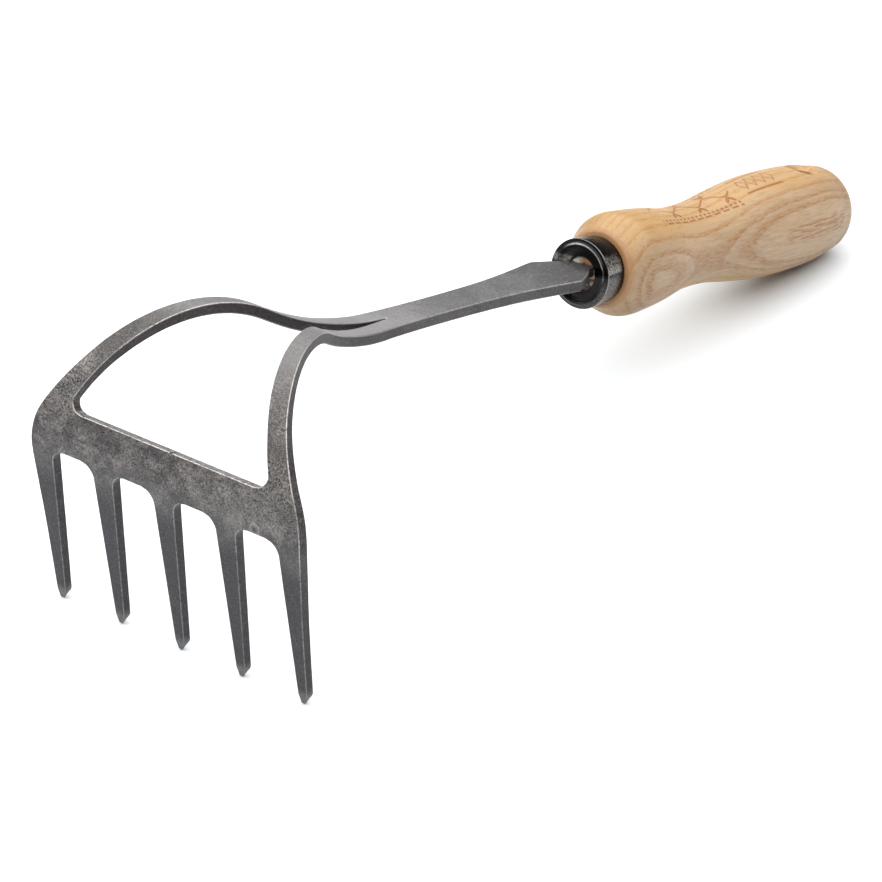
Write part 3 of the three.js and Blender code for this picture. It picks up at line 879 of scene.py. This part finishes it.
def ash_material():
    """Ring-porous ash. Growth rings are nearly flat sheets facing +X, cut open by the turned bulges."""
    sh = Shader("ash_wood")
    spot = sh.attribute("spot", "Vector")
    sunk = sh.attribute("sunk", "Fac")
    x, along, z = sh.parts(spot)
    y = sh.minus(along, GRIP_START)
    ripple = sh.grain(spot, 0.2, 0.35, 3, 0.6)
    level = ring_level(sh, spot, x, y, z, ripple)
    early = early_wood(sh, level)
    fibre = sh.grain(spot, 0.07, 1.5, 4, 0.7)
    streak = sh.grain(spot, 0.05, 1.1, 5, 0.7)
    pore = sh.grain(spot, 0.16, 1.9, 4, 0.7)
    broad = sh.grain(spot, 0.3, 0.08, 2, 0.5)
    speckle = sh.span(pore, 0.45, 0.56)

    side = sh.span(sh.math("ABSOLUTE", level), 8, 16.5)
    pale = sh.mix(side, (0.43, 0.26, 0.102), (0.362, 0.24, 0.141))
    pale = sh.mix(sh.span(broad, 0.4, 0.62, 0.0, 0.6), pale, (0.42, 0.285, 0.16))
    pale = sh.mix(sh.both(sh.span(streak, 0.5, 0.64), side, 0.55), pale, (0.44, 0.345, 0.26))
    pale = sh.mix(sh.span(fibre, 0.5, 0.62, 0.0, 0.38), pale, (0.25, 0.155, 0.082))
    tan = sh.mix(side, (0.36, 0.175, 0.044), (0.28, 0.135, 0.047))
    share = sh.both(early, sh.plus(sh.both(speckle, 0.64), 0.26))
    flecks = sh.both(sh.span(y, 84, 91), sh.span(y, 127, 122), sh.near(z, 1.8, 2.6, 1.2))
    flecks = sh.both(flecks, sh.span(fibre, 0.44, 0.54), 0.9)
    colour = sh.mix(sh.math("ADD", share, flecks, clamp=True), pale, tan)
    colour = sh.mix(sh.span(pore, 0.6, 0.68, 0.0, 0.25), colour, (0.16, 0.09, 0.04))

    axis = GRIP.to_3x3() @ Vector((0, 1, 0))
    surface_normal = sh.add("ShaderNodeNewGeometry", {}).outputs["Normal"]
    facing = sh.math("ABSOLUTE", sh.vector("DOT_PRODUCT", surface_normal, axis))
    end_grain = sh.both(sh.span(facing, 0.35, 0.55), sh.span(y, 2.6, 1.4))
    end_grain = sh.both(end_grain, sh.span(streak, 0.4, 0.6, 0.5, 1.0))
    colour = sh.mix(end_grain, colour, (0.37, 0.19, 0.08))
    tint = sh.mix(sh.span(ripple, 0.4, 0.6), (0.46, 0.27, 0.115), (0.34, 0.17, 0.06))
    colour = sh.mix(sh.span(sunk, 0.1, 0.4, 0.0, 0.8), colour, tint)
    burnt = burnt_ornament(sh, x, y, z)
    colour = sh.mix(sh.both(burnt, 0.88), colour, (0.23, 0.08, 0.014))
    # painted shade: darker under the bulb near the ferrule, and towards both ends of the grip
    belly_shade = sh.both(sh.span(z, -5, -14), sh.span(y, 34, 8), 0.2)
    end_shade = sh.both(sh.span(y, -2, 30, 0.9, 1.0), sh.span(y, 108, 138, 1.0, 0.84))
    colour = sh.scale(colour, sh.both(end_shade, sh.rest(belly_shade)))

    height = sh.minus(sh.both(fibre, 0.4), sh.both(early, speckle, 0.5), sh.both(burnt, 0.4))
    normal = sh.bump(height, 0.25, 0.0002)
    rough = sh.plus(sh.both(fibre, 0.15), 0.38)
    return sh.finish(Base_Color=colour, Roughness=rough, Normal=normal, Specular_IOR_Level=0.45)


def resin_material():
    """Cured pale filler, dusty, with brown wood at its upper right and below, and painted shade between
    them.
    """
    sh = Shader("bedding_resin")
    spot = sh.attribute("spot", "Vector")
    x, _, z = sh.parts(spot)
    lump = sh.noise(spot, 0.9, 5, 0.65)
    fine = sh.noise(spot, 4.0, 3, 0.6)
    colour = sh.mix(sh.span(lump, 0.35, 0.6), (0.17, 0.14, 0.1), (0.36, 0.34, 0.3))
    wood = sh.both(sh.span(sh.plus(x, sh.both(lump, 3)), 0.2, 1.6), sh.span(z, 1.6, 2.6))
    colour = sh.mix(wood, colour, (0.3, 0.155, 0.065))
    colour = sh.mix(sh.span(z, -4.2, -4.8), colour, (0.22, 0.13, 0.075))
    # painted shade low in the mouth, right of the tang
    shade = sh.both(sh.span(z, 2.2, 1.2), sh.span(z, -4.8, -4.2), sh.span(x, 0.5, 1.8))
    colour = sh.mix(sh.both(shade, 0.92), colour, (0.022, 0.018, 0.016))
    crumb = ((4.5, SMEAR_FRONT, -2.7), 0.9, (0.3, 0.26, 0.22))
    pit = ((0.3, SMEAR_FRONT, 3.2), 0.55, (0.012, 0.01, 0.01))
    for place, size, tone in (crumb, pit):
        away = sh.vector("MULTIPLY", sh.vector("SUBTRACT", spot, place), (1.0, 0.0, 1.0))
        reach = sh.plus(sh.vector("LENGTH", away), sh.both(sh.minus(lump, 0.5), 1.6))
        colour = sh.mix(sh.span(reach, size + 0.3, size - 0.3), colour, tone)
    colour = sh.mix(sh.span(fine, 0.55, 0.7, 0.0, 0.4), colour, (0.08, 0.05, 0.03))
    normal = sh.bump(sh.plus(lump, sh.both(fine, 0.3)), 0.6, 0.0004)
    return sh.finish(Base_Color=colour, Roughness=0.75, Normal=normal)


def floor_material():
    sh = Shader("studio_floor")
    return sh.finish(Base_Color=(0.74, 0.77, 0.79, 1.0), Roughness=1.0, Specular_IOR_Level=0.0)


# ---- build ----
build_rake_head(steel_material())
build_ferrule(ferrule_material())
build_handle(ash_material())
build_bedding(resin_material())

# ---- floor, light and camera ----
FLOOR_SIZE, FLOOR_DROP = 8, 0.0002
CAMERA_TARGET, CAMERA_DISTANCE = (0, -0.0435, 0.01584), 1.53
CAMERA_AZIMUTH, CAMERA_ELEVATION, CAMERA_ROLL = 39.764, 30.012, -1.146  # degrees; azimuth from -Y

bpy.ops.mesh.primitive_plane_add(size=FLOOR_SIZE, location=(0, 0, -FLOOR_DROP))
floor = bpy.context.object
floor.name = "studio_floor"
floor.data.materials.append(floor_material())


def add_light(name, place, target, size, power):
    """A square softbox; size is its side in metres and power its watts."""
    data = bpy.data.lights.new(name, "AREA")
    data.shape, data.size, data.energy = "SQUARE", size, power
    lamp = bpy.data.objects.new(name, data)
    lamp.location = place
    lamp.visible_camera = False
    lamp.rotation_euler = (Vector(target) - Vector(place)).to_track_quat("-Z", "Y").to_euler()
    bpy.context.scene.collection.objects.link(lamp)


add_light("overhead_softbox", place=(-0.3, 0.1, 1.6), target=(-0.3, 0.1, 0), size=4.4, power=162)
add_light("left_softbox", place=(-1.7, -0.9, 0.9), target=(0, 0, 0.05), size=1.2, power=10)

world = bpy.data.worlds.new("studio")
world.use_nodes = True
background = world.node_tree.nodes["Background"]
background.inputs["Color"].default_value = (1.0, 1.0, 1.0, 1.0)
background.inputs["Strength"].default_value = 0.14
bpy.context.scene.world = world

camera_data = bpy.data.cameras.new("camera")
camera_data.lens, camera_data.sensor_width = 191.84, 36.0
camera_data.clip_start, camera_data.clip_end = 0.05, 20.0
camera = bpy.data.objects.new("camera", camera_data)
camera.matrix_world = (
    Matrix.Translation(CAMERA_TARGET)
    @ Matrix.Rotation(math.radians(CAMERA_AZIMUTH), 4, "Z")
    @ Matrix.Rotation(math.radians(90 - CAMERA_ELEVATION), 4, "X")
    @ Matrix.Rotation(math.radians(CAMERA_ROLL), 4, "Z")
    @ Matrix.Translation((0, 0, CAMERA_DISTANCE))
)
bpy.context.scene.collection.objects.link(camera)
bpy.context.scene.camera = camera
bpy.context.scene.view_settings.view_transform = "Standard"
